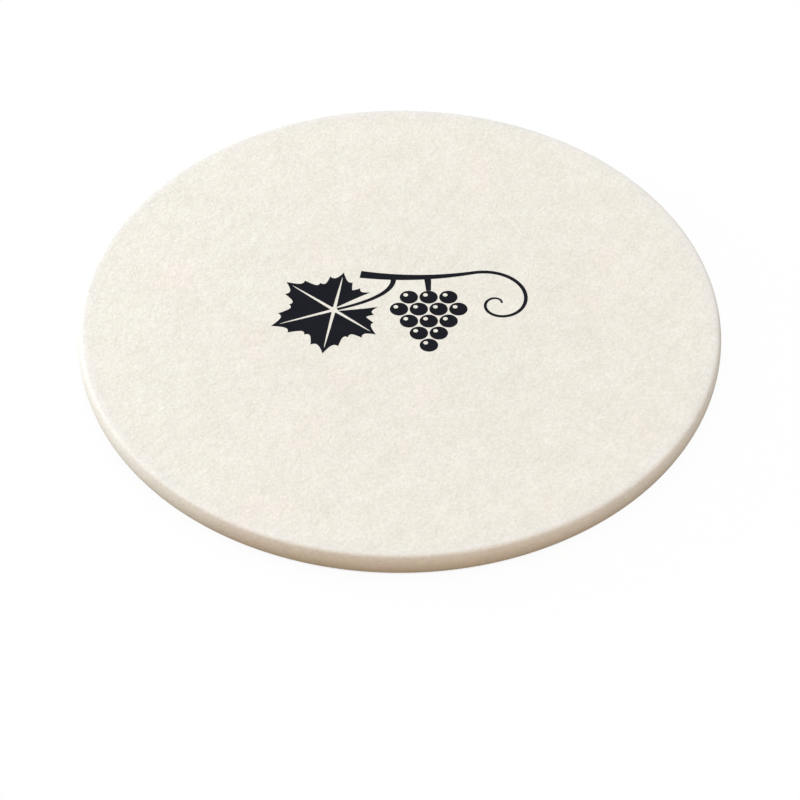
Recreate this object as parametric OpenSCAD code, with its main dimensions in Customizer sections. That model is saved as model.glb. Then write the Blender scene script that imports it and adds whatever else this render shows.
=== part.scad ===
// Flat round absorbent coaster for a wine bottle or a glass.
// A thick pressed-fibre disc stands on a thinner cork base, which a film of adhesive holds to its underside.
// Millimetres. The origin is the centre of the underside, on the table, and +Z is up.

/* [Disc] */
// Outside diameter of the disc, where its side bulges most
disc_d = 120; // [90:1:135]
// Thickness of the disc
disc_t = 4.6; // [3:0.1:8]
// Radius of the broad shoulder, where the top face starts to fall towards the side
shoulder_r = 10; // [4:0.5:14]
// Slope that the shoulder has reached where the upper edge starts, in degrees
shoulder_lean = 5; // [2:1:15]
// Radius of the upper edge, between the shoulder and the side
upper_edge_r = 0.6; // [0.2:0.05:1]
// Radius of the gently bulging side, seen in section
side_crown_r = 6; // [5:0.5:20]
// Radius of the eased lower edge
lower_edge_r = 0.45; // [0.1:0.05:1]

/* [Base] */
// Thickness of the cork base
cork_t = 1; // [0.6:0.1:3]
// Distance from the side of the disc in to the rim of the cork
cork_setback = 3; // [2.5:0.5:12]
// Thickness of the adhesive film between the cork and the disc
film_t = 0.15; // [0.1:0.05:0.3]

/* [Hidden] */

$fn = 180;

// Radii of the round pieces; the film is cut together with the cork
disc_r = disc_d / 2;
base_r = disc_r - cork_setback;

// Heights at which the pieces seat on each other
film_z = cork_t;
disc_z = film_z + film_t;

// The disc's section is bounded by four arcs, each of which starts with the slope that the last one ended with.
// Slopes are measured from level, on the top face, down to the underside.
level = 0;
underside = 180;

// Centre of the side's arc, half way up the disc
side_x = disc_r - side_crown_r;
side_z = disc_t / 2;

// Heights of the two edges' centres, and the slopes at which the side starts and ends
upper_edge_z = disc_t - shoulder_r + (shoulder_r - upper_edge_r) * cos(shoulder_lean);
lower_edge_z = lower_edge_r;
side_start = acos((upper_edge_z - side_z) / (side_crown_r - upper_edge_r));
side_end = acos((lower_edge_z - side_z) / (side_crown_r - lower_edge_r));

// Distances of the arcs' centres from the axis
upper_edge_x = side_x + (side_crown_r - upper_edge_r) * sin(side_start);
lower_edge_x = side_x + (side_crown_r - lower_edge_r) * sin(side_end);
shoulder_x = upper_edge_x - (shoulder_r - upper_edge_r) * sin(shoulder_lean);
shoulder_z = disc_t - shoulder_r;

// How far the blank that the section is cut from runs past the finished side
blank_margin = 1;
// How far the waste outside a broad arc runs on, in degrees, over that outside the tighter arc beside it
overlap = 3;

// A point at that distance from the origin, where an arc about the origin has that slope
function on_arc(distance, slope) = [distance * sin(slope), distance * cos(slope)];

// What lies outside an arc about the origin, between two slopes less than a right angle apart. It reaches out by
// the disc's thickness, which clears the blank.
module arc_waste(r, from, to) {
    reach = r + disc_t;
    corner = reach / cos((to - from) / 2);
    difference() {
        polygon([[0, 0], on_arc(reach, from), on_arc(corner, (from + to) / 2), on_arc(reach, to)]);
        circle(r);
    }
}

// Half section of the disc, from its axis to its side
module disc_section() {
    difference() {
        square([disc_r + blank_margin, disc_t]);
        translate([shoulder_x, shoulder_z])
            arc_waste(shoulder_r, level, shoulder_lean + overlap);
        translate([upper_edge_x, upper_edge_z])
            arc_waste(upper_edge_r, shoulder_lean, side_start);
        translate([side_x, side_z])
            arc_waste(side_crown_r, side_start - overlap, side_end + overlap);
        translate([lower_edge_x, lower_edge_z])
            arc_waste(lower_edge_r, side_end, underside);
    }
}

// The absorbent disc that the bottle stands on
module absorbent_disc() {
    color("ivory")
        translate([0, 0, disc_z])
            rotate_extrude()
                disc_section();
}

// The film that bonds the cork to the disc
module adhesive_film() {
    color("wheat")
        translate([0, 0, film_z])
            cylinder(r = base_r, h = film_t);
}

// The set-back cork that grips the table and keeps damp off it
module cork_base() {
    color("peru")
        cylinder(r = base_r, h = cork_t);
}

absorbent_disc();
adhesive_film();
cork_base();
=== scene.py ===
"""Looks of a flat round absorbent coaster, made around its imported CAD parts.

A pressed-fibre disc with a bulging side carries a printed vine sprig. A bond film and a granulated cork base
lie under it. Lengths are in metres, in the part's own frame: +Z is up, and the print reads from the -Y side.
"""

import math

import bmesh
import bpy
from mathutils import Matrix, Vector, noise


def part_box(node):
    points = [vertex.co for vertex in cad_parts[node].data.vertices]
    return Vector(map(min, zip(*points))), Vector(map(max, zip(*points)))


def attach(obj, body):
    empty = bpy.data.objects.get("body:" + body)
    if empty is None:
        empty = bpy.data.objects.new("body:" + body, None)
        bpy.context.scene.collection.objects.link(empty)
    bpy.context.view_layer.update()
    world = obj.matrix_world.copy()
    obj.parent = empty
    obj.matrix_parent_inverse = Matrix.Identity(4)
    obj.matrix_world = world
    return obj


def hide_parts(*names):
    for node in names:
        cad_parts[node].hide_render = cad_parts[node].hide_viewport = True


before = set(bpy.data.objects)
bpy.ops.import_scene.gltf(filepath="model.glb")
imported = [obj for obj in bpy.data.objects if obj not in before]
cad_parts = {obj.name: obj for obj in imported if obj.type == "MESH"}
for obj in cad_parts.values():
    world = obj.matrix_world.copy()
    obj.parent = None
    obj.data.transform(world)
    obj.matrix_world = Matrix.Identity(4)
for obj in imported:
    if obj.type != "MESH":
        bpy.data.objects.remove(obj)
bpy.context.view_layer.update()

MM = 0.001
UP = Vector((0, 0, 1))
WHITE = (1, 1, 1)

# Sizes that the frame gives
disc_low, disc_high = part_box("absorbent_disc")
film_low, film_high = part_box("adhesive_film")
cork_low, cork_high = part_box("cork_base")
DISC_R = disc_high.x
BASE_R = cork_high.x
TOP_CENTRE = Vector((0, 0, disc_high.z))

# Section of the disc, with a support loop on each flat face, a little way from the arcs
SHOULDER_R = 10 * MM
SHOULDER_LEAN = math.radians(5)
UPPER_EDGE_R = 0.8 * MM
SIDE_CROWN_R = 4.5 * MM
LOWER_EDGE_R = 0.45 * MM
SUPPORT_GAP = 0.3 * MM
SHOULDER_STEPS = 6
UPPER_EDGE_STEPS = 10
SIDE_STEPS = 12
LOWER_EDGE_STEPS = 8
DISC_STEPS = 360

# Cork base, cut from granulated sheet, and the film over it
CORK_EDGES = 180
GRANULE = 2.2 * MM
CRUMB = 0.8 * MM
PIT_DEPTH = 0.14 * MM
SEAM_SHARE = 0.16
LOST_GRANULES = 0.1
LOST_SCATTER = 9
RIM_STEPS = 3
RIM_WEAR = 0.12 * MM
FILM_STEPS = 240
FILM_RIM_STEPS = 6

# Points of a spun body that lie closer than this, on its axis, become one
POLE_MERGE = 0.0005 * MM

# Meshes turn sharply where their faces meet at more than this
CREASE = math.radians(40)


# Meshes


def new_piece(name, bm, material, smooth=True):
    """Turns a finished bmesh into an object at the origin. Smooth pieces keep their sharp creases."""
    for face in bm.faces:
        face.smooth = smooth
    for edge in bm.edges:
        edge.smooth = edge.calc_face_angle(0) < CREASE
    mesh = bpy.data.meshes.new(name)
    bm.to_mesh(mesh)
    bm.free()
    mesh.materials.append(material)
    piece = bpy.data.objects.new(name, mesh)
    bpy.context.scene.collection.objects.link(piece)
    return piece


def on_arc(centre, radius, slope):
    """The point of a section's arc that has that slope, from level on top round to the underside."""
    return centre[0] + radius * math.sin(slope), centre[1] + radius * math.cos(slope)


def arc(centre, radius, start, end, steps):
    """Points of a section's arc, between two slopes."""
    return [on_arc(centre, radius, start + (end - start) * i / steps) for i in range(steps + 1)]


def spun(section, steps):
    """A closed body of revolution about Z from a half section of (radius, height) points."""
    bm = bmesh.new()
    verts = [bm.verts.new((r, 0, z)) for r, z in section]
    edges = [bm.edges.new(pair) for pair in zip(verts, verts[1:])]
    turn = {"cent": (0, 0, 0), "axis": UP, "angle": math.tau, "steps": steps}
    bmesh.ops.spin(bm, geom=verts + edges, use_merge=True, **turn)
    bmesh.ops.remove_doubles(bm, verts=bm.verts, dist=POLE_MERGE)
    bmesh.ops.recalc_face_normals(bm, faces=bm.faces)
    return bm


def disc_section():
    """Half section of the disc, from the middle of its top, round its side, to the middle of its underside.

    Each arc starts with the slope that the last one ended with.
    """
    side = (DISC_R - SIDE_CROWN_R, (disc_low.z + disc_high.z) / 2)
    upper_reach = SIDE_CROWN_R - UPPER_EDGE_R
    lower_reach = SIDE_CROWN_R - LOWER_EDGE_R
    shoulder_reach = SHOULDER_R - UPPER_EDGE_R
    upper_z = disc_high.z - SHOULDER_R + shoulder_reach * math.cos(SHOULDER_LEAN)
    side_start = math.acos((upper_z - side[1]) / upper_reach)
    side_end = math.acos((disc_low.z + LOWER_EDGE_R - side[1]) / lower_reach)
    upper = on_arc(side, upper_reach, side_start)
    lower = on_arc(side, lower_reach, side_end)
    shoulder = (upper[0] - shoulder_reach * math.sin(SHOULDER_LEAN), disc_high.z - SHOULDER_R)
    top_radii = (0, shoulder[0] / 2, shoulder[0] - SUPPORT_GAP)
    under_radii = (lower[0] - SUPPORT_GAP, BASE_R / 2, 0)
    return (
        [(r, disc_high.z) for r in top_radii]
        + arc(shoulder, SHOULDER_R, 0, SHOULDER_LEAN, SHOULDER_STEPS)
        + arc(upper, UPPER_EDGE_R, SHOULDER_LEAN, side_start, UPPER_EDGE_STEPS)[1:]
        + arc(side, SIDE_CROWN_R, side_start, side_end, SIDE_STEPS)[1:]
        + arc(lower, LOWER_EDGE_R, side_end, math.pi, LOWER_EDGE_STEPS)[1:]
        + [(r, disc_low.z) for r in under_radii]
    )


def film_section():
    """Half section of the bond film, with a rounded rim."""
    rim_r = (film_high.z - film_low.z) / 2
    rim = (BASE_R - rim_r, film_low.z + rim_r)
    return [(0, film_high.z), *arc(rim, rim_r, 0, math.pi, FILM_RIM_STEPS), (0, film_low.z)]


def round_sheet(radius, height, side_edges):
    """A level round sheet of quads: a circle filled by a grid between four quarter arcs."""
    bm = bmesh.new()
    place = Matrix.Translation((0, 0, height))
    bmesh.ops.create_circle(bm, cap_ends=False, radius=radius, segments=4 * side_edges, matrix=place)

    def quarter(edge):
        middle = edge.verts[0].co + edge.verts[1].co
        return int((math.atan2(middle.y, middle.x) % math.tau) // (math.pi / 2))

    rails = [edge for edge in bm.edges if quarter(edge) in (0, 2)]
    bmesh.ops.grid_fill(bm, edges=rails, mat_nr=0, use_smooth=True, use_interp_simple=False)
    return bm


def cork_pit(place):
    """How deep the cork is pitted there, from 0 to 1: seams between granules, and granules that fell out."""
    distances, centres = noise.voronoi(place / GRANULE)
    seam = max(0, 1 - (distances[1] - distances[0]) / SEAM_SHARE)
    lost = noise.cell(centres[0] * LOST_SCATTER) < LOST_GRANULES
    return max(seam, lost)


def cork_sheet():
    """The cork base: a pitted underside, a worn rim and a plain top."""
    bm = round_sheet(BASE_R, cork_low.z, CORK_EDGES)
    for vert in bm.verts:
        if not vert.is_boundary:
            vert.co.z += PIT_DEPTH * cork_pit(vert.co)
    rim = [edge for edge in bm.edges if edge.is_boundary]
    for step in range(RIM_STEPS):
        raised = bmesh.ops.extrude_edge_only(bm, edges=rim)["geom"]
        rim = [item for item in raised if isinstance(item, bmesh.types.BMEdge)]
        verts = [item for item in raised if isinstance(item, bmesh.types.BMVert)]
        bmesh.ops.translate(bm, vec=UP * (cork_high.z - cork_low.z) / RIM_STEPS, verts=verts)
        if step < RIM_STEPS - 1:
            for vert in verts:
                inward = Vector((-vert.co.x, -vert.co.y, 0)).normalized()
                vert.co += inward * RIM_WEAR * cork_pit(vert.co)
    bmesh.ops.holes_fill(bm, edges=rim, sides=0)
    bmesh.ops.recalc_face_normals(bm, faces=bm.faces)
    return bm


def face_up(bm):
    """Turns the faces of level sheets upwards."""
    bmesh.ops.recalc_face_normals(bm, faces=bm.faces)
    bmesh.ops.reverse_faces(bm, faces=[face for face in bm.faces if face.normal.z < 0])


def mapped_patch(bm, columns, rows, place):
    """A grid patch whose corners (0, 0) to (1, 1) are carried to place(u, v)."""
    verts = bmesh.ops.create_grid(bm, x_segments=columns, y_segments=rows, size=0.5)["verts"]
    for vert in verts:
        x, y = place(vert.co.x + 0.5, vert.co.y + 0.5)
        vert.co = Vector((x, y, 0))


# Printed vine sprig, drawn in millimetres and degrees

LEAF_BASE = (-9.5, 1.5)
LEAF_R = 12.5
LEAF_WAY = 200
LEAF_EYE = 0.8
LEAF_ROWS = 16
# Direction of each lobe from the leaf's own, and its share of the leaf's radius
LEAF_LOBES = ((-165, 0.66), (-120, 0.82), (-60, 0.94), (0, 1.0), (60, 0.94), (120, 0.82), (165, 0.66))
LOBE_DIP = 0.28
TOOTH_SPREAD = 15
TOOTH_DEPTH = 0.1
TOOTH_POWER = 0.8
TOOTH_COLUMNS = 12
VEIN_GAP = 0.65
VEIN_REACH = 0.875
VEIN_POWER = 0.6

GRAPE_R = 1.72
GRAPE_EDGES = 48
GRAPE_PITCH = 3.7
GRAPE_ROWS = (3, 4, 3, 2, 1)
BUNCH_TOP = (8.2, 4.9)
GLINT_R = 0.45
GLINT_SHIFT = (-0.6, 0.62)

TENDRIL_CENTRE = (21, 3.2)
TENDRIL_R = 9.4
TENDRIL_END_R = 0.9
TENDRIL_START = 118
TENDRIL_TURN = 470
TENDRIL_WIDTHS = (0.8, 0.4)
TENDRIL_STEPS = 120

# The cane runs into the tendril. A stalk has a start, a point that it leans to and an end.
CANE_START = (-4.6, 11.1)
CANE_PULL = (6, 9.24)
CANE_WIDTHS = (1.9, 0.8)
CANE_STEPS = 24
LEAF_STALK = ((-8.9, 1.7), (1.32, 5.0), (1.6, 9.56))
LEAF_STALK_WIDTHS = (0.6, 1.0)
LEAF_STALK_STEPS = 24
BUNCH_STALK = ((8.05, 9.715), (8.135, 8.2), (8.2, 6.64))
BUNCH_STALK_WIDTHS = (1.3, 0.9)
BUNCH_STALK_STEPS = 12
STROKE_ROWS = 2
STROKE_NUDGE = 0.001
PRINT_MERGE = 0.002

# Place of the print on the disc, how proud its ink stands, and how far it reaches into the fibre
MARK_CENTRE = Vector((0, 3 * MM, 0))
INK_T = 0.012 * MM
INK_SUNK = 0.02 * MM


def add_leaf(bm):
    """A lobed vine leaf with a toothed outline and unprinted veins that taper to nothing."""
    for (start, start_share), (end, end_share) in zip(LEAF_LOBES, LEAF_LOBES[1:]):
        spread = math.radians(end - start)
        teeth = round((end - start) / TOOTH_SPREAD)

        def place(u, v):
            share = start_share + (end_share - start_share) * u
            dip = LOBE_DIP * spread * (1 - abs(1 - 2 * u))
            tooth = TOOTH_DEPTH * abs(math.sin(math.pi * teeth * u)) ** TOOTH_POWER
            r = LEAF_EYE + v * (LEAF_R * share * (1 - dip - tooth) - LEAF_EYE)
            vein = math.asin(VEIN_GAP / 2 / r * max(0, 1 - v / VEIN_REACH) ** VEIN_POWER)
            turn = math.radians(LEAF_WAY + start) + vein + u * (spread - 2 * vein)
            return LEAF_BASE[0] + r * math.cos(turn), LEAF_BASE[1] + r * math.sin(turn)

        mapped_patch(bm, TOOTH_COLUMNS * teeth, LEAF_ROWS, place)


def add_grape(bm, x, y):
    """A round berry with an unprinted glint."""
    loops = []
    for radius, dx, dy in ((GRAPE_R, 0, 0), (GLINT_R, *GLINT_SHIFT)):
        place = Matrix.Translation((x + dx, y + dy, 0))
        circle = {"cap_ends": False, "radius": radius, "segments": GRAPE_EDGES, "matrix": place}
        verts = bmesh.ops.create_circle(bm, **circle)["verts"]
        loops += {edge for vert in verts for edge in vert.link_edges}
    bmesh.ops.bridge_loops(bm, edges=loops)


def add_bunch(bm):
    """Berries packed row under row."""
    for row, count in enumerate(GRAPE_ROWS):
        for i in range(count):
            x = BUNCH_TOP[0] + (i - (count - 1) / 2) * GRAPE_PITCH
            add_grape(bm, x, BUNCH_TOP[1] - row * GRAPE_PITCH * math.sin(math.pi / 3))


def bend(start, pull, end):
    """A curve from start to end that leans towards pull."""

    def path(t):
        s = 1 - t
        return [s * s * a + 2 * s * t * b + t * t * c for a, b, c in zip(start, pull, end)]

    return path


def tendril(t):
    """A spiral that winds inwards."""
    turn = math.radians(TENDRIL_START - t * TENDRIL_TURN)
    r = TENDRIL_R * (TENDRIL_END_R / TENDRIL_R) ** t
    return TENDRIL_CENTRE[0] + r * math.cos(turn), TENDRIL_CENTRE[1] + r * math.sin(turn)


def add_stroke(bm, path, widths, steps):
    """A stroke along path(t) that changes width evenly from its start to its end."""

    def place(u, v):
        x, y = path(u)
        ahead, behind = path(u + STROKE_NUDGE), path(u - STROKE_NUDGE)
        dx, dy = ahead[0] - behind[0], ahead[1] - behind[1]
        shift = (v - 0.5) * (widths[0] + (widths[1] - widths[0]) * u) / math.hypot(dx, dy)
        return x - dy * shift, y + dx * shift

    mapped_patch(bm, steps, STROKE_ROWS, place)


def vine_print():
    """The printed mark: a leaf, a bunch of grapes and a tendril on one piece of cane."""
    bm = bmesh.new()
    add_leaf(bm)
    add_bunch(bm)
    add_stroke(bm, bend(CANE_START, CANE_PULL, tendril(0)), CANE_WIDTHS, CANE_STEPS)
    add_stroke(bm, bend(*LEAF_STALK), LEAF_STALK_WIDTHS, LEAF_STALK_STEPS)
    add_stroke(bm, bend(*BUNCH_STALK), BUNCH_STALK_WIDTHS, BUNCH_STALK_STEPS)
    add_stroke(bm, tendril, TENDRIL_WIDTHS, TENDRIL_STEPS)
    bmesh.ops.remove_doubles(bm, verts=bm.verts, dist=PRINT_MERGE)
    corners = [[pick(vert.co[axis] for vert in bm.verts) for pick in (min, max)] for axis in (0, 1)]
    middle = Vector((sum(corners[0]) / 2, sum(corners[1]) / 2, 0))
    bmesh.ops.translate(bm, vec=-middle, verts=bm.verts)
    bmesh.ops.transform(bm, matrix=Matrix.Scale(MM, 4), verts=bm.verts)
    lift = TOP_CENTRE + MARK_CENTRE + UP * INK_T
    bmesh.ops.translate(bm, vec=lift, verts=bm.verts)
    face_up(bm)
    rims = bmesh.ops.extrude_face_region(bm, geom=bm.faces[:])
    sunk = [item for item in rims["geom"] if isinstance(item, bmesh.types.BMVert)]
    bmesh.ops.translate(bm, vec=-UP * (INK_T + INK_SUNK), verts=sunk)
    bmesh.ops.recalc_face_normals(bm, faces=bm.faces)
    return bm


# Materials: patterns in millimetres and degrees, linear colours, and tones as stops of (position, colour)

# Grain of pressed fibre
STRAND_LAYERS = 4
STRAND_FIRST_TURN = 20
STRAND_TURN = 45
STRAND_SHIFT = (7.3, 3.1, 0)
STRAND_WANDER = 1.2
STRAND_HEIGHT = 0.75
LUMP_HEIGHT = 2.6
MEAN_HEIGHT = 1.6
BLUSH_SHIFT = (31, 17, 0)

# Ivory fibre, which is pressed smoother on the side
IVORY = (0.87, 0.83, 0.745)
CLOUD_TONES = ((0.3, (0.846, 0.801, 0.714)), (0.7, (0.896, 0.852, 0.767)))
BLUSH_TONES = ((0.46, (0.99, 1.0, 0.995)), (0.7, (1.006, 0.991, 0.998)))
FLECK_TONES = ((0.2, (0.95, 0.95, 0.95)), (0.8, (1.05, 1.05, 1.05)))
FIBRE_RELIEF = 0.085 * MM
SIDE_SMOOTHING = 0.65
SMOOTHING_START = DISC_R - 2.4 * MM
SMOOTHING_END = DISC_R - 0.6 * MM

# Ring inside the disc's upper edge, and the tones of painted light that whiten the fibre about it, coolest
# close to the edge, by share of the reach
RIM_R = DISC_R - 1 * MM
RIM_Z = disc_high.z - 0.5 * MM
RIM_REACH = 40 * MM
PAINTED_RIM_LIGHT = (
    (0.01, (0.998, 1.014, 1.058)),
    (0.03, (1.001, 1.008, 1.028)),
    (0.08, (1.013, 1.016, 1.018)),
    (0.25, (1.01, 1.013, 1.015)),
    (1.0, (0.992, 0.996, 0.998)),
)

# Navy ink
NAVY = (0.0135, 0.0155, 0.02)
INK_TONES = ((0.3, (0.0088, 0.0094, 0.0138)), (0.7, (0.0118, 0.0124, 0.0178)))
INK_RELIEF = 0.012 * MM

# Granulated cork
CORK_BROWN = (0.45, 0.27, 0.13)
GRAIN_TONES = ((0.0, (0.24, 0.125, 0.055)), (0.3, (0.43, 0.255, 0.12)), (1.0, (0.6, 0.395, 0.21)))
MOTTLE_TONES = ((0.3, (0.84, 0.8, 0.76)), (0.65, (1.08, 1.08, 1.08)))
BARK_TONES = ((0.3, (0.34, 0.27, 0.23)), (0.36, WHITE))
SEAM_TONES = ((0.0, (0.74, 0.68, 0.62)), (0.08, WHITE))
SEAM_REACH = (0.07, 0.13)
GRANULE_TEAR = 1.8
GRANULE_HEIGHT = 0.8
CORK_RELIEF = 0.1 * MM

# Amber bond
AMBER = (0.78, 0.7, 0.52)
BOND_TONES = ((0.35, (0.66, 0.56, 0.37)), (0.65, (0.8, 0.72, 0.55)))


def add_node(tree, kind, inputs=None, **settings):
    """A node of that kind with its settings, and its inputs by name or number."""
    node = tree.nodes.new(kind)
    for name, value in settings.items():
        setattr(node, name, value)
    for socket, value in (inputs or {}).items():
        if isinstance(value, bpy.types.NodeSocket):
            tree.links.new(value, node.inputs[socket])
        else:
            node.inputs[socket].default_value = value
    return node


def math_node(tree, operation, *values):
    """The result of an operation on numbers."""
    return add_node(tree, "ShaderNodeMath", dict(enumerate(values)), operation=operation).outputs[0]


def vector_node(tree, operation, inputs, output="Vector"):
    """The result of an operation on vectors."""
    return add_node(tree, "ShaderNodeVectorMath", inputs, operation=operation).outputs[output]


def noise_node(tree, place, scale, detail, roughness=0.5):
    """The outputs of a cloudy noise at a place."""
    inputs = {"Vector": place, "Scale": scale, "Detail": detail, "Roughness": roughness}
    return add_node(tree, "ShaderNodeTexNoise", inputs).outputs


def new_group(name, inputs, outputs):
    """A shader node group with named float inputs (and their values) and named outputs."""
    tree = bpy.data.node_groups.new(name, "ShaderNodeTree")
    for label, value in inputs.items():
        socket = tree.interface.new_socket(label, in_out="INPUT", socket_type="NodeSocketFloat")
        socket.default_value = value
    for label in outputs:
        tree.interface.new_socket(label, in_out="OUTPUT", socket_type="NodeSocketFloat")
    return tree, tree.nodes.new("NodeGroupInput").outputs, tree.nodes.new("NodeGroupOutput").inputs


def new_material(name, colour, roughness, specular=0.5):
    """A material with one Principled shader, and that shader's inputs.

    The colour is for viewers that don't read the nodes.
    """
    material = bpy.data.materials.new(name)
    material.use_nodes = True
    shader = material.node_tree.nodes["Principled BSDF"]
    shader.inputs["Base Color"].default_value = (*colour, 1)
    shader.inputs["Roughness"].default_value = roughness
    shader.inputs["Specular IOR Level"].default_value = specular
    return material, material.node_tree, shader.inputs


def millimetres(tree):
    """The piece's own coordinates, in millimetres."""
    coordinates = tree.nodes.new("ShaderNodeTexCoord").outputs["Object"]
    return vector_node(tree, "SCALE", {0: coordinates, "Scale": 1 / MM})


def displaced(tree, place, cloud, reach):
    """A place that a cloudy noise moves by up to that reach."""
    shift = vector_node(tree, "SCALE", {0: cloud["Color"], "Scale": reach})
    return vector_node(tree, "ADD", {0: place, 1: shift})


def pressed_fibre_group():
    """Matted strands and pulp lumps: a height about 0, fine flecks, a soft cloud of tone and a blush."""
    tree, given, result = new_group(
        "pressed_fibre_grain",
        {"Strand Length": 1.6, "Strand Width": 0.42, "Lump Size": 2.6, "Fleck Size": 0.55},
        ("Height", "Fleck", "Cloud", "Blush"),
    )
    along, across, lump_scale, fleck_scale = [
        math_node(tree, "DIVIDE", 1.0, given[label])
        for label in ("Strand Length", "Strand Width", "Lump Size", "Fleck Size")
    ]
    place = millimetres(tree)
    curved = displaced(tree, place, noise_node(tree, place, scale=0.7, detail=1), STRAND_WANDER)
    stretch = add_node(tree, "ShaderNodeCombineXYZ", {0: along, 1: across, 2: across}).outputs[0]
    strands = None
    for layer in range(STRAND_LAYERS):
        turn = (0, 0, math.radians(STRAND_FIRST_TURN + STRAND_TURN * layer))
        shift = [step * layer for step in STRAND_SHIFT]
        laid = {"Vector": curved, "Rotation": turn, "Location": shift}
        turned = add_node(tree, "ShaderNodeMapping", laid, vector_type="POINT").outputs[0]
        drawn = vector_node(tree, "MULTIPLY", {0: turned, 1: stretch})
        streak = noise_node(tree, drawn, scale=1, detail=0)[0]
        strands = streak if strands is None else math_node(tree, "MAXIMUM", strands, streak)
    lumps = noise_node(tree, place, lump_scale, detail=3, roughness=0.7)[0]
    matted = math_node(tree, "MULTIPLY", strands, STRAND_HEIGHT)
    height = math_node(tree, "MULTIPLY_ADD", lumps, LUMP_HEIGHT, matted)
    apart = vector_node(tree, "ADD", {0: place, 1: BLUSH_SHIFT})
    tree.links.new(math_node(tree, "SUBTRACT", height, MEAN_HEIGHT), result["Height"])
    tree.links.new(noise_node(tree, place, fleck_scale, detail=0)[0], result["Fleck"])
    tree.links.new(noise_node(tree, place, scale=0.16, detail=4, roughness=0.62)[0], result["Cloud"])
    tree.links.new(noise_node(tree, apart, scale=0.09, detail=3)[0], result["Blush"])
    return tree


def bumped(tree, height, relief):
    """The normal that a height gives, where a height of 1 stands that relief proud."""
    bump = add_node(tree, "ShaderNodeBump", {"Height": height, "Strength": 1.0, "Distance": relief})
    return bump.outputs["Normal"]


def tones(tree, factor, stops):
    """A colour ramp over factor."""
    ramp = add_node(tree, "ShaderNodeValToRGB", {"Fac": factor})
    elements = ramp.color_ramp.elements
    while len(elements) < len(stops):
        elements.new(0.5)
    for element, (position, colour) in zip(elements, stops):
        element.position = position
        element.color = (*colour, 1)
    return ramp.outputs["Color"]


def multiplied(tree, colour, shades):
    """A colour times each of some shades."""
    for shade in shades:
        inputs = {"Factor": 1.0, 6: colour, 7: shade}
        colour = add_node(tree, "ShaderNodeMix", inputs, data_type="RGBA", blend_type="MULTIPLY").outputs[2]
    return colour


def eased(tree, value, reach):
    """A smooth step from 0 to 1 over that reach of a value."""
    ends = {"Value": value, "From Min": reach[0], "From Max": reach[1]}
    return add_node(tree, "ShaderNodeMapRange", ends, interpolation_type="SMOOTHSTEP").outputs[0]


def from_axis(tree, place):
    """Distance from the disc's axis."""
    level = vector_node(tree, "MULTIPLY", {0: place, 1: (1, 1, 0)})
    return vector_node(tree, "LENGTH", {0: level}, "Value")


def from_rim(tree, place):
    """Distance from the ring inside the disc's upper edge."""
    height = add_node(tree, "ShaderNodeSeparateXYZ", {0: place}).outputs["Z"]
    out = math_node(tree, "SUBTRACT", from_axis(tree, place), RIM_R / MM)
    up = math_node(tree, "SUBTRACT", height, RIM_Z / MM)
    squares = math_node(tree, "MULTIPLY_ADD", out, out, math_node(tree, "MULTIPLY", up, up))
    return math_node(tree, "SQRT", squares)


def ivory_fibre(group):
    """Cream fibre with painted light that whitens it about the rim, pressed smoother on the side."""
    material, tree, shader = new_material("ivory_pressed_fibre", IVORY, roughness=0.92, specular=0.2)
    fibre = add_node(tree, "ShaderNodeGroup", node_tree=group).outputs
    place = millimetres(tree)
    side = eased(tree, from_axis(tree, place), (SMOOTHING_START / MM, SMOOTHING_END / MM))
    roughened = math_node(tree, "MULTIPLY_ADD", side, -SIDE_SMOOTHING, 1.0)
    height = math_node(tree, "MULTIPLY", fibre["Height"], roughened)
    tree.links.new(bumped(tree, height, FIBRE_RELIEF), shader["Normal"])
    cloud = tones(tree, fibre["Cloud"], CLOUD_TONES)
    blush = tones(tree, fibre["Blush"], BLUSH_TONES)
    fleck = tones(tree, fibre["Fleck"], FLECK_TONES)
    # Painted highlight: the fibre is whitened about the rim, and cooled close to its edge.
    rim = tones(tree, math_node(tree, "DIVIDE", from_rim(tree, place), RIM_REACH / MM), PAINTED_RIM_LIGHT)
    tree.links.new(multiplied(tree, cloud, (blush, fleck, rim)), shader["Base Color"])
    return material


def navy_ink(group):
    """Matt ink that lies on the fibre and shows a little of its grain."""
    material, tree, shader = new_material("navy_ink", NAVY, roughness=0.7, specular=0.05)
    fibre = add_node(tree, "ShaderNodeGroup", node_tree=group).outputs
    tree.links.new(bumped(tree, fibre["Height"], INK_RELIEF), shader["Normal"])
    tree.links.new(tones(tree, fibre["Cloud"], INK_TONES), shader["Base Color"])
    return material


def grain_tone(tree, place, size):
    """An even tone from 0 to 1 for each cork grain of about that size."""
    cell = add_node(tree, "ShaderNodeTexVoronoi", {"Vector": place, "Scale": MM / size})
    return add_node(tree, "ShaderNodeSeparateColor", {"Color": cell.outputs["Color"]}).outputs[0]


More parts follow.
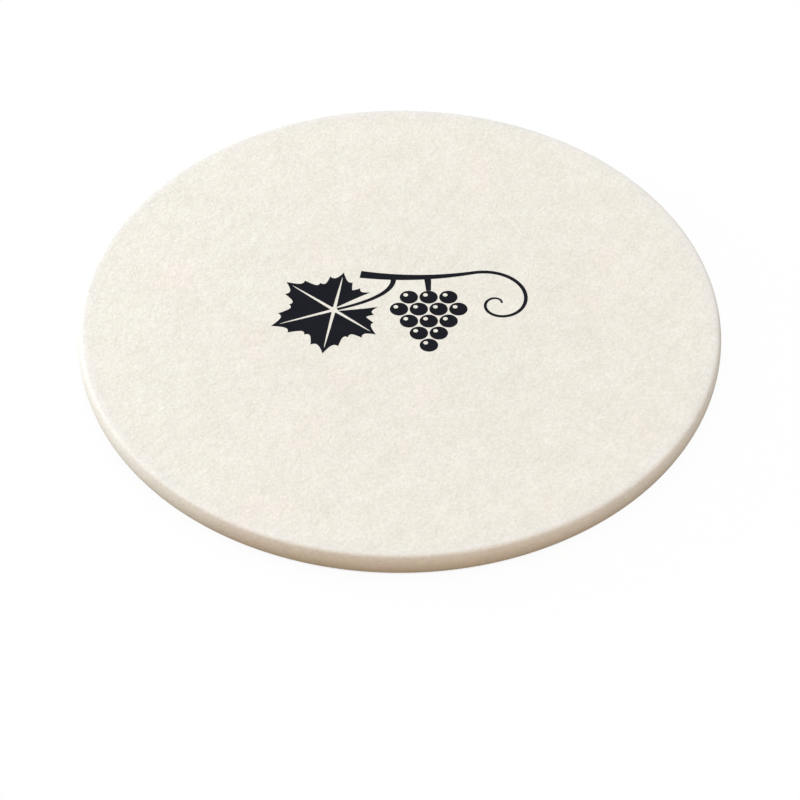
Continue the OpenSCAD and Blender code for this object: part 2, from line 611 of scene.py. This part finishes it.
def granulated_cork():
    """Ragged granules with finer crumbs in their seams, and dark flecks of bark."""
    material, tree, shader = new_material("granulated_cork", CORK_BROWN, roughness=0.85)
    place = millimetres(tree)
    torn = displaced(tree, place, noise_node(tree, place, scale=1.1, detail=4, roughness=0.6), GRANULE_TEAR)
    granules = {"Vector": torn, "Scale": MM / GRANULE}
    inside = add_node(tree, "ShaderNodeTexVoronoi", granules, feature="DISTANCE_TO_EDGE").outputs["Distance"]
    whole = eased(tree, inside, SEAM_REACH)
    grains = {"Factor": whole, 2: grain_tone(tree, torn, CRUMB), 3: grain_tone(tree, torn, GRANULE)}
    tone = add_node(tree, "ShaderNodeMix", grains, data_type="FLOAT").outputs[0]
    cells = noise_node(tree, torn, scale=3, detail=3)[0]
    bark = noise_node(tree, torn, scale=0.75, detail=2)[0]
    body = tones(tree, tone, GRAIN_TONES)
    mottle = tones(tree, cells, MOTTLE_TONES)
    fleck = tones(tree, bark, BARK_TONES)
    seam = tones(tree, inside, SEAM_TONES)
    tree.links.new(multiplied(tree, body, (mottle, fleck, seam)), shader["Base Color"])
    height = math_node(tree, "MULTIPLY_ADD", whole, GRANULE_HEIGHT, cells)
    tree.links.new(bumped(tree, height, CORK_RELIEF), shader["Normal"])
    return material


def amber_bond():
    """Dried bond with paler and darker streaks."""
    material, tree, shader = new_material("amber_bond", AMBER, roughness=0.4)
    streak = noise_node(tree, millimetres(tree), scale=0.5, detail=3)[0]
    tree.links.new(tones(tree, streak, BOND_TONES), shader["Base Color"])
    return material


# Pieces

fibre_grain = pressed_fibre_group()

disc = new_piece("fibre_disc", spun(disc_section(), DISC_STEPS), ivory_fibre(fibre_grain))
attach(disc, "root")
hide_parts("absorbent_disc")

mark = new_piece("printed_mark", vine_print(), navy_ink(fibre_grain), smooth=False)
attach(mark, "root")

film = new_piece("bond_film", spun(film_section(), FILM_STEPS), amber_bond())
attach(film, "root")
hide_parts("adhesive_film")

cork = new_piece("cork_sheet", cork_sheet(), granulated_cork())
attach(cork, "root")
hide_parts("cork_base")


# Stage, light and camera

FLOOR_R = 3.0
FLOOR_OPENING = BASE_R - 0.5 * MM
FLOOR_EDGES = 96
FLOOR_BOUNCE = (0.17, 0.145, 0.13)
SHADOW_SHARE = 0.045
SHADOW_EDGE = DISC_R - 1.2 * MM

# The sky's colour low down, by how far a direction points to the back (+Y), and its colour higher up
LOW_SKY = (
    (-0.85, (0.84, 0.55, 0.27)),
    (-0.15, (0.78, 0.79, 0.77)),
    (0.2, (0.78, 0.79, 0.77)),
    (0.6, (0.7, 0.7, 0.7)),
)
UPPER_SKY = (1.078, 1.127, 1.206)
UPPER_REACH = (0.5, 0.9)

KEY_AZIMUTH = math.radians(161)
KEY_ELEVATION = math.radians(10)
KEY_DISTANCE = 0.5
KEY_SIZE = 0.19
KEY_POWER = 1.55
KEY_TINT = (0.84, 0.93, 1.0)

LENS = 227.8
CAMERA_AZIMUTH = math.radians(-90)
CAMERA_ELEVATION = math.radians(44.3)
CAMERA_DISTANCE = 944 * MM
CAMERA_AIM = Vector((0.05 * MM, -20.28 * MM, 0))
CAMERA_ROLL = math.radians(-0.05)
CAMERA_NEAR = 0.01
CAMERA_FAR = 20


def seen_directly(tree):
    """1 where the eye, a mirror or a glass looks at the surface, 0 where it only lights other surfaces."""
    path = tree.nodes.new("ShaderNodeLightPath").outputs
    mirrored = math_node(tree, "MAXIMUM", path["Is Glossy Ray"], path["Is Transmission Ray"])
    return math_node(tree, "MAXIMUM", path["Is Camera Ray"], mirrored)


def coloured(tree, kind, colour):
    """A plain shader of that kind and colour."""
    return add_node(tree, kind, {"Color": (*colour, 1)}).outputs[0]


def mixed(tree, share, first, second):
    """The first shader, and as much of the second as share says."""
    return add_node(tree, "ShaderNodeMixShader", {"Fac": share, 1: first, 2: second}).outputs[0]


def white_floor():
    """Seen white with a faint shadow, deeper under the disc.

    It throws back little light, and is clear from below.
    """
    material = bpy.data.materials.new("white_floor")
    material.use_nodes = True
    tree = material.node_tree
    tree.nodes.clear()
    outside = eased(tree, from_axis(tree, millimetres(tree)), (BASE_R / MM, SHADOW_EDGE / MM))
    share = math_node(tree, "MULTIPLY_ADD", outside, SHADOW_SHARE - 1, 1.0)
    plain = coloured(tree, "ShaderNodeEmission", WHITE)
    shaded = coloured(tree, "ShaderNodeBsdfDiffuse", WHITE)
    bounce = coloured(tree, "ShaderNodeBsdfDiffuse", FLOOR_BOUNCE)
    clear = coloured(tree, "ShaderNodeBsdfTransparent", WHITE)
    above = mixed(tree, seen_directly(tree), bounce, mixed(tree, share, plain, shaded))
    below = tree.nodes.new("ShaderNodeNewGeometry").outputs["Backfacing"]
    add_node(tree, "ShaderNodeOutputMaterial", {"Surface": mixed(tree, below, above, clear)})
    return material


def make_floor():
    """A floor with an opening that the base covers, so that light reaches the underside from below."""
    bm = bmesh.new()
    level = Matrix.Translation((0, 0, cork_low.z))
    for radius in (FLOOR_OPENING, FLOOR_R):
        bmesh.ops.create_circle(bm, cap_ends=False, radius=radius, segments=FLOOR_EDGES, matrix=level)
    bmesh.ops.bridge_loops(bm, edges=bm.edges)
    face_up(bm)
    new_piece("floor", bm, white_floor(), smooth=False)


def make_world():
    """White behind the object, and on it a soft sky that is warm low in front."""
    world = bpy.data.worlds.new("studio")
    bpy.context.scene.world = world
    world.use_nodes = True
    tree = world.node_tree
    tree.nodes.clear()
    way = tree.nodes.new("ShaderNodeTexCoord").outputs["Generated"]
    toward = add_node(tree, "ShaderNodeSeparateXYZ", {0: way}).outputs
    back = math_node(tree, "MULTIPLY_ADD", toward["Y"], 0.5, 0.5)
    low_sky = tones(tree, back, [(0.5 + 0.5 * y, colour) for y, colour in LOW_SKY])
    height = eased(tree, toward["Z"], UPPER_REACH)
    layers = {"Factor": height, 6: low_sky, 7: (*UPPER_SKY, 1)}
    sky = add_node(tree, "ShaderNodeMix", layers, data_type="RGBA").outputs[2]
    fill = add_node(tree, "ShaderNodeBackground", {"Color": sky}).outputs[0]
    white = coloured(tree, "ShaderNodeBackground", WHITE)
    add_node(tree, "ShaderNodeOutputWorld", {"Surface": mixed(tree, seen_directly(tree), fill, white)})


def from_centre(azimuth, elevation, distance):
    """A point round the middle of the top face."""
    level = math.cos(elevation)
    way = Vector((level * math.cos(azimuth), level * math.sin(azimuth), math.sin(elevation)))
    return TOP_CENTRE + way * distance


def make_key_light():
    """A low round lamp on the left, a little towards the back."""
    lamp = bpy.data.lights.new("key", "AREA")
    lamp.shape = "DISK"
    lamp.size = KEY_SIZE
    lamp.energy = KEY_POWER
    lamp.color = KEY_TINT
    key = bpy.data.objects.new("key", lamp)
    key.location = from_centre(KEY_AZIMUTH, KEY_ELEVATION, KEY_DISTANCE)
    key.rotation_euler = (TOP_CENTRE - key.location).to_track_quat("-Z", "Y").to_euler()
    bpy.context.scene.collection.objects.link(key)


def make_camera():
    """A long lens that looks down from the front, at a point short of the disc's middle."""
    lens = bpy.data.cameras.new("camera")
    lens.lens = LENS
    lens.clip_start = CAMERA_NEAR
    lens.clip_end = CAMERA_FAR
    camera = bpy.data.objects.new("camera", lens)
    eye = from_centre(CAMERA_AZIMUTH, CAMERA_ELEVATION, CAMERA_DISTANCE)
    ahead = (TOP_CENTRE + CAMERA_AIM - eye).normalized()
    right = ahead.cross(UP).normalized()
    above = right.cross(ahead)
    cos, sin = math.cos(CAMERA_ROLL), math.sin(CAMERA_ROLL)
    axes = Matrix((right * cos + above * sin, above * cos - right * sin, -ahead)).transposed()
    camera.matrix_world = Matrix.Translation(eye) @ axes.to_4x4()
    bpy.context.scene.collection.objects.link(camera)
    bpy.context.scene.camera = camera


make_floor()
make_world()
make_key_light()
make_camera()
bpy.context.scene.view_settings.view_transform = "Standard"
